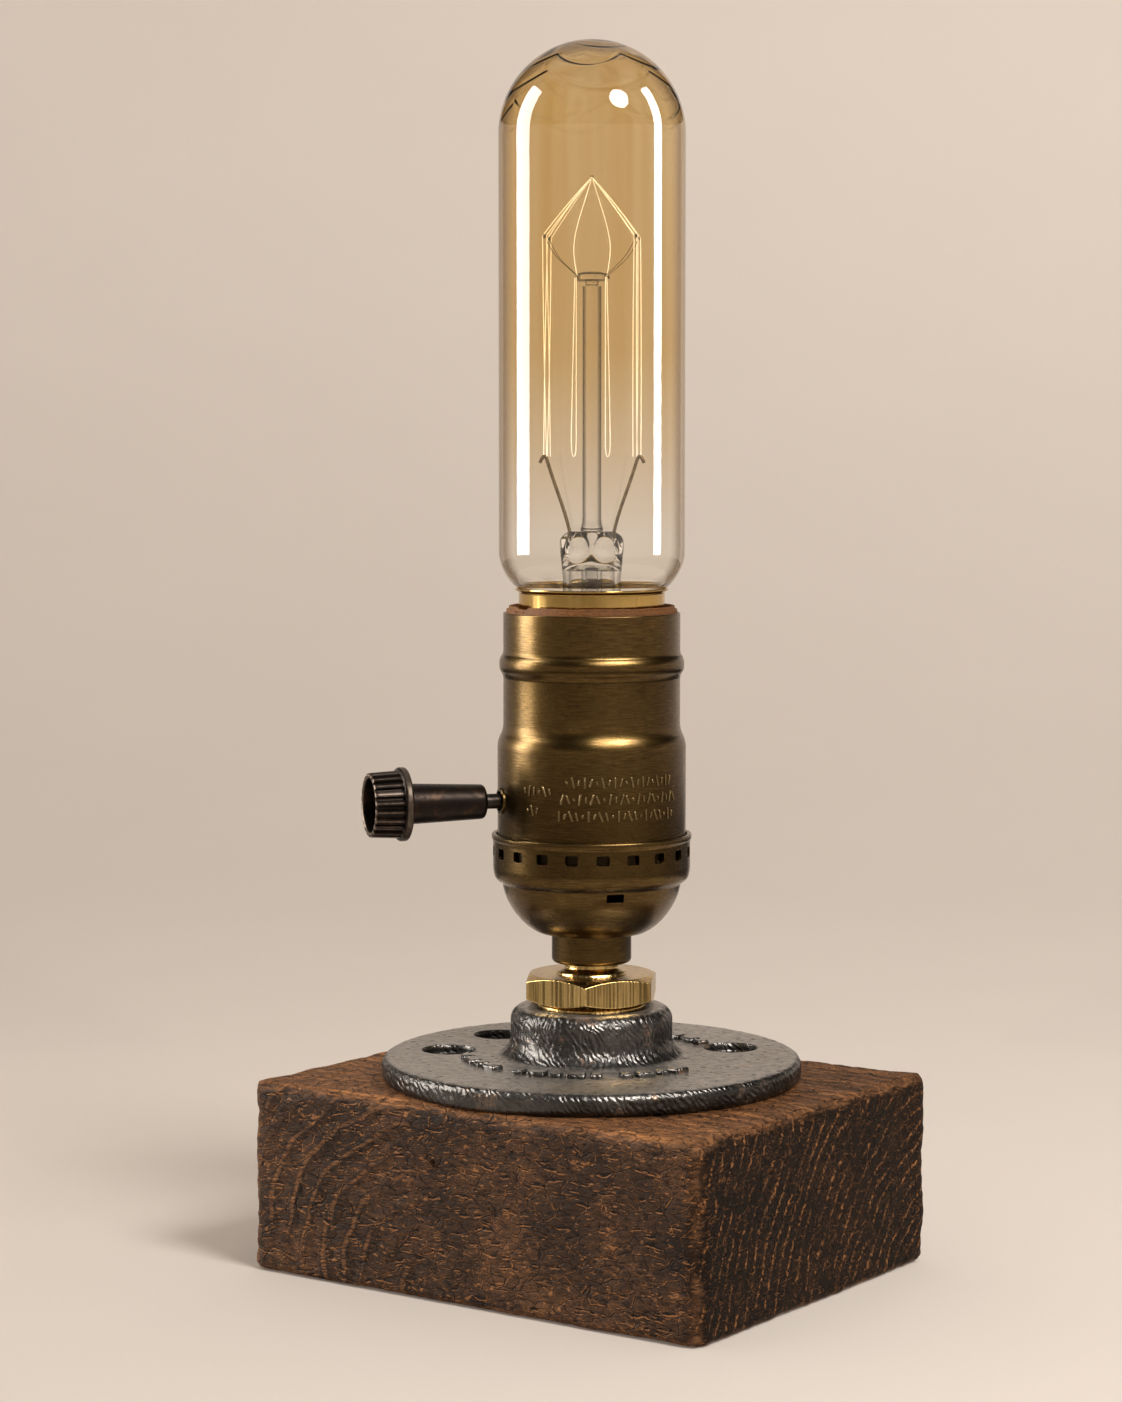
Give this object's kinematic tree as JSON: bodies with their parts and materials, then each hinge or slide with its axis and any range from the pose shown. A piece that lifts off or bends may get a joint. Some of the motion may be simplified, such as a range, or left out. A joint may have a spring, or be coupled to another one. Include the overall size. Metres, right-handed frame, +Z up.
{
  "type": "bedside lamp",
  "caption": "Bedside lamp: a tall tubular filament bulb in a brass turn-knob socket, on a cast pipe flange screwed to a weathered wooden block.",
  "frame": {"origin": "centre of the wooden block's underside, on the lamp's axis", "axes": "+Z up along the lamp's axis; +X along the block's long side; +Y towards the block's back face, where the cord enters"},
  "size_m": [0.101, 0.0804, 0.2294],
  "materials": {
    "weathered_wood": "dark, waxed and scratched",
    "cast_iron": "wrinkled casting, dark and slightly shiny",
    "dark_steel": "blackened",
    "polished_brass": "turned and lightly polished",
    "antique_brass": "brushed with a dark patina",
    "liner_fibre": "smooth varnished fibre",
    "dark_phenolic": "moulded, matt",
    "washer_fibre": "pressed fibre",
    "contact_brass": "plain stamped",
    "nickel_steel": "plated, satin",
    "dark_bronze": "oil-rubbed, worn bright on the ribs",
    "solder": "dull",
    "black_glass": "glossy",
    "bulb_brass": "bright rolled sheet",
    "basing_cement": "matt",
    "amber_glass": "clear, amber tinted",
    "clear_glass": "clear",
    "lead_metal": "drawn wire",
    "filament_carbon": "fine dark wire"
  },
  "bodies": {
    "stand": {"wood_base": "weathered_wood", "floor_flange": "cast_iron", "flange_screws": "dark_steel", "hex_bushing": "polished_brass", "lamp_nipple": "polished_brass", "socket_cap": "antique_brass", "cap_set_screw": "dark_steel", "socket_shell": "antique_brass", "shell_liner": "liner_fibre", "insulator_body": "dark_phenolic", "switch_cover": "washer_fibre", "screw_shell": "contact_brass", "screw_shell_rivets": "contact_brass", "centre_contact": "contact_brass", "neutral_terminal": "contact_brass", "live_terminal": "contact_brass", "neutral_terminal_screw": "nickel_steel", "live_terminal_screw": "contact_brass", "switch_contact": "contact_brass"},
    "switch_knob": {"turn_knob": "dark_bronze", "switch_spindle": "nickel_steel", "switch_rotor": "dark_phenolic"},
    "bulb_contact": {"bulb_tip_contact": "solder"},
    "bulb": {"bulb_base_insulator": "black_glass", "bulb_screw_base": "bulb_brass", "base_cement": "basing_cement", "glass_envelope": "amber_glass", "glass_stem": "clear_glass", "exhaust_tube": "clear_glass", "stem_rod": "clear_glass", "rod_button": "clear_glass", "lead_wires": "lead_metal", "filament_supports": "lead_metal", "filament": "filament_carbon"}
  },
  "joints": [
    {"name": "knob_turn", "type": "hinge", "parent": "stand", "child": "switch_knob", "pos_m": [0, 0, 0.0888], "axis": [-0.6115, -0.7912, 0], "continuous": true},
    {"name": "bulb_lift", "type": "slide", "parent": "stand", "child": "bulb_contact", "axis": [0, 0, 1], "range_m": [0, 0.0164]},
    {"name": "bulb_turn", "type": "hinge", "parent": "bulb_contact", "child": "bulb", "pos_m": [0, 0, 0.1012], "axis": [0, 0, 1], "range_deg": [0, 1620]}
  ],
  "couplings": [
    {"joint": "bulb_lift", "follows": "bulb_turn", "m_per_rad": 0.00057757}
  ]
}
